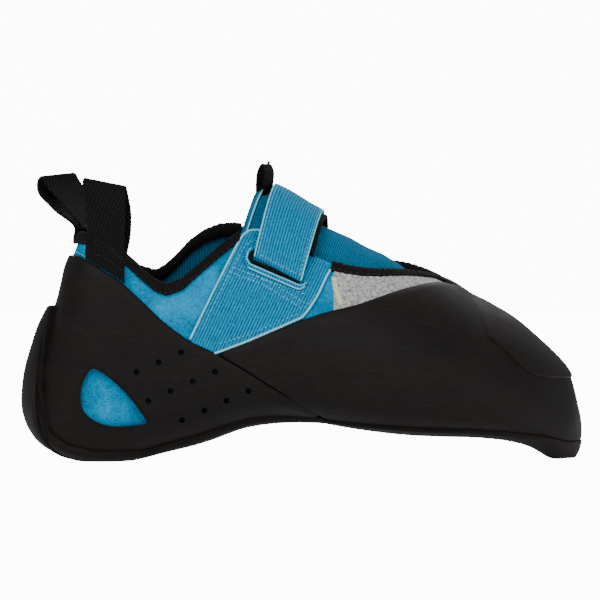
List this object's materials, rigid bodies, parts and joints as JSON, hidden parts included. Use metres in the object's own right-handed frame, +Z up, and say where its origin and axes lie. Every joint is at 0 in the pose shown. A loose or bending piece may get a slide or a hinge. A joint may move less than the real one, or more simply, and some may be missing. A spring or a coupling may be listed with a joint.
{
  "type": "climbing shoe",
  "caption": "Right climbing shoe with a turned-down toe, rubber rands and soles, one diagonal strap, bound collar and heel pull loops.",
  "frame": {"origin": "middle of the shoe's box at floor level", "axes": "+X towards the toe, +Y towards the inner side of the foot, +Z up"},
  "size_m": [0.25, 0.0916, 0.1313],
  "materials": {
    "blue_suede": "soft napped suede",
    "black_rubber": "matt moulded rubber",
    "grey_suede": "soft napped suede",
    "blue_woven": "ribbed woven cloth",
    "black_webbing": "twill webbing",
    "insole_board": "smooth fibre board"
  },
  "bodies": {
    "root": {"upper": "blue_suede", "insole": "insole_board", "outsole": "black_rubber", "heel_sole": "black_rubber", "toe_rand": "black_rubber", "heel_rand": "black_rubber", "toe_cap": "black_rubber", "vamp_panel_outer": "grey_suede", "vamp_panel_inner": "grey_suede", "strap_base_outer": "blue_woven", "strap_base_inner": "blue_woven", "strap": "blue_woven", "strap_lining": "black_webbing", "tongue": "blue_woven", "tongue_loop": "black_webbing", "collar_binding": "black_webbing", "throat_binding": "black_webbing", "heel_loop_outer": "black_webbing", "heel_loop_inner": "black_webbing"}
  },
  "joints": []
}
